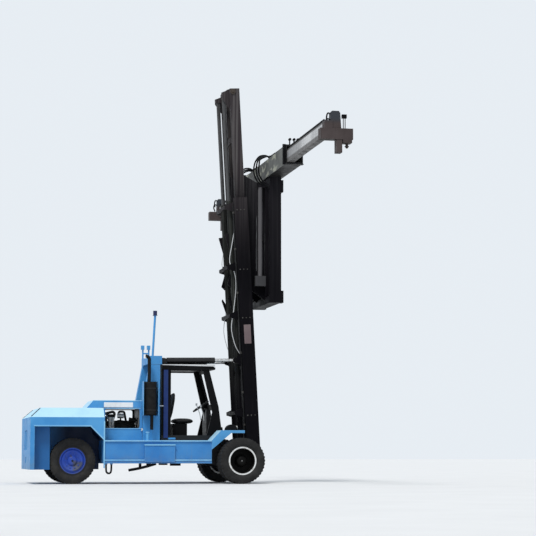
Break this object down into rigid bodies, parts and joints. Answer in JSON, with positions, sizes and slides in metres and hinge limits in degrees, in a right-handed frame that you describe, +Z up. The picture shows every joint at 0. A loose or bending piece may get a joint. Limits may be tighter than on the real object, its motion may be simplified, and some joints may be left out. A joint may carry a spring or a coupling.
{
  "type": "heavy forklift with a container side-lift spreader",
  "caption": "Counterbalanced heavy forklift with a two-stage mast, side frame and telescopic top beam for lifting empty containers.",
  "frame": {"origin": "on the ground under the middle of the whole machine's bounding box", "axes": "+X to the front of the machine, +Y to the driver's left along the spreader, +Z up"},
  "size_m": [5.61, 12.19, 8.6248],
  "materials": {
    "sky_blue_paint": "satin",
    "royal_blue_paint": "satin",
    "navy_paint": "satin",
    "black_paint": "satin",
    "silver_paint": "satin",
    "mast_paint": "matte",
    "beam_grey_paint": "matte",
    "arm_grey_paint": "matte",
    "end_beam_paint": "matte",
    "engine_iron": "matte",
    "exhaust_steel": "matte",
    "sheave_iron": "matte",
    "chain_steel": "satin",
    "rod_chrome": "polished",
    "amber_lamp": "gloss",
    "black_plastic": "matte",
    "black_vinyl": "satin",
    "tyre": "matte"
  },
  "bodies": {
    "root": {"frame": "sky_blue_paint", "counterweight": "sky_blue_paint", "hood_sides": "sky_blue_paint", "hood_hinge": "sky_blue_paint", "engine": "engine_iron", "gearbox": "engine_iron", "columns": "sky_blue_paint", "muffler": "exhaust_steel", "muffler_cage": "sky_blue_paint", "beacon": "amber_lamp", "rear_lamps": "sky_blue_paint", "cab_base": "sky_blue_paint", "cab_shell": "black_paint", "cab_roof": "black_paint", "door_pillars": "navy_paint", "seat_base": "black_paint", "seat": "black_vinyl", "dash": "black_plastic", "side_boxes": "sky_blue_paint", "fenders": "sky_blue_paint", "head_lamps": "black_paint", "hose_loop": "black_plastic", "front_axle": "black_paint", "steer_axle": "royal_blue_paint"},
    "hood": {"hood_lid": "sky_blue_paint"},
    "front_wheel_l": {"front_tyres_l": "tyre", "front_hub_l": "silver_paint"},
    "knuckle_l": {"knuckle_l": "royal_blue_paint"},
    "rear_wheel_l": {"rear_tyre_l": "tyre", "rear_rim_l": "royal_blue_paint"},
    "front_wheel_r": {"front_tyres_r": "tyre", "front_hub_r": "silver_paint"},
    "knuckle_r": {"knuckle_r": "royal_blue_paint"},
    "rear_wheel_r": {"rear_tyre_r": "tyre", "rear_rim_r": "royal_blue_paint"},
    "mast": {"outer_mast": "mast_paint", "lift_barrels": "mast_paint"},
    "inner_mast": {"inner_mast": "mast_paint", "lift_rods": "rod_chrome", "sheaves": "sheave_iron", "front_chains": "chain_steel", "rear_chains": "chain_steel"},
    "carriage": {"carriage": "mast_paint", "side_frame": "mast_paint", "main_beam": "beam_grey_paint"},
    "arm_l": {"arm_l": "arm_grey_paint", "end_beam_l": "end_beam_paint"},
    "tilt_barrel_l": {"tilt_barrel_l": "mast_paint"},
    "tilt_rod_l": {"tilt_rod_l": "rod_chrome"},
    "arm_r": {"arm_r": "arm_grey_paint", "end_beam_r": "end_beam_paint"},
    "tilt_barrel_r": {"tilt_barrel_r": "mast_paint"},
    "tilt_rod_r": {"tilt_rod_r": "rod_chrome"}
  },
  "joints": [
    {"name": "front_wheel_l_roll", "type": "hinge", "parent": "root", "child": "front_wheel_l", "pos_m": [1.595, 1.237, 0.48], "axis": [0, 1, 0], "continuous": true},
    {"name": "front_wheel_r_roll", "type": "hinge", "parent": "root", "child": "front_wheel_r", "pos_m": [1.595, -1.237, 0.48], "axis": [0, 1, 0], "continuous": true},
    {"name": "steer_l", "type": "hinge", "parent": "root", "child": "knuckle_l", "pos_m": [-1.905, 0.64, 0.48], "axis": [0, 0, 1], "range_deg": [-55, 55]},
    {"name": "steer_r", "type": "hinge", "parent": "root", "child": "knuckle_r", "pos_m": [-1.905, -0.64, 0.48], "axis": [0, 0, 1], "range_deg": [-55, 55]},
    {"name": "rear_wheel_l_roll", "type": "hinge", "parent": "knuckle_l", "child": "rear_wheel_l", "pos_m": [-1.905, 0.862, 0.48], "axis": [0, 1, 0], "continuous": true},
    {"name": "rear_wheel_r_roll", "type": "hinge", "parent": "knuckle_r", "child": "rear_wheel_r", "pos_m": [-1.905, -0.862, 0.48], "axis": [0, 1, 0], "continuous": true},
    {"name": "hood_open", "type": "hinge", "parent": "root", "child": "hood", "pos_m": [-0.397, 0, 1.752], "axis": [0, 1, 0], "range_deg": [0, 60]},
    {"name": "mast_tilt", "type": "hinge", "parent": "root", "child": "mast", "pos_m": [1.595, 0, 0.48], "axis": [0, 1, 0], "range_deg": [-6, 9]},
    {"name": "mast_lift", "type": "slide", "parent": "mast", "child": "inner_mast", "axis": [-0.0541, 0, 0.9985], "range_m": [-1.8, 1.25], "deforming": ["rear_chains"]},
    {"name": "carriage_slide", "type": "slide", "parent": "inner_mast", "child": "carriage", "axis": [-0.0541, 0, 0.9985], "range_m": [-1.8, 1.25], "deforming": ["front_chains"]},
    {"name": "arm_l_extend", "type": "slide", "parent": "carriage", "child": "arm_l", "axis": [0, 1, 0], "range_m": [-3.066, 0]},
    {"name": "arm_r_extend", "type": "slide", "parent": "carriage", "child": "arm_r", "axis": [0, -1, 0], "range_m": [-3.066, 0]},
    {"name": "tilt_barrel_l_swing", "type": "hinge", "parent": "root", "child": "tilt_barrel_l", "pos_m": [0.065, 0.505, 2.612], "axis": [0, 1, 0], "range_deg": [-0.7, 1.05]},
    {"name": "tilt_rod_l_slide", "type": "slide", "parent": "tilt_barrel_l", "child": "tilt_rod_l", "axis": [0.9999, 0, 0.0127], "range_m": [-0.23, 0.345]},
    {"name": "tilt_barrel_r_swing", "type": "hinge", "parent": "root", "child": "tilt_barrel_r", "pos_m": [0.065, -0.505, 2.612], "axis": [0, 1, 0], "range_deg": [-0.7, 1.05]},
    {"name": "tilt_rod_r_slide", "type": "slide", "parent": "tilt_barrel_r", "child": "tilt_rod_r", "axis": [0.9999, 0, 0.0127], "range_m": [-0.23, 0.345]}
  ],
  "couplings": [
    {"joint": "steer_r", "follows": "steer_l", "ratio": 1},
    {"joint": "carriage_slide", "follows": "mast_lift", "ratio": 1},
    {"joint": "arm_r_extend", "follows": "arm_l_extend", "ratio": 1},
    {"joint": "tilt_barrel_l_swing", "follows": "mast_tilt", "ratio": 0.07},
    {"joint": "tilt_rod_l_slide", "follows": "mast_tilt", "m_per_rad": 2.15},
    {"joint": "tilt_barrel_r_swing", "follows": "mast_tilt", "ratio": 0.07},
    {"joint": "tilt_rod_r_slide", "follows": "mast_tilt", "m_per_rad": 2.15}
  ]
}
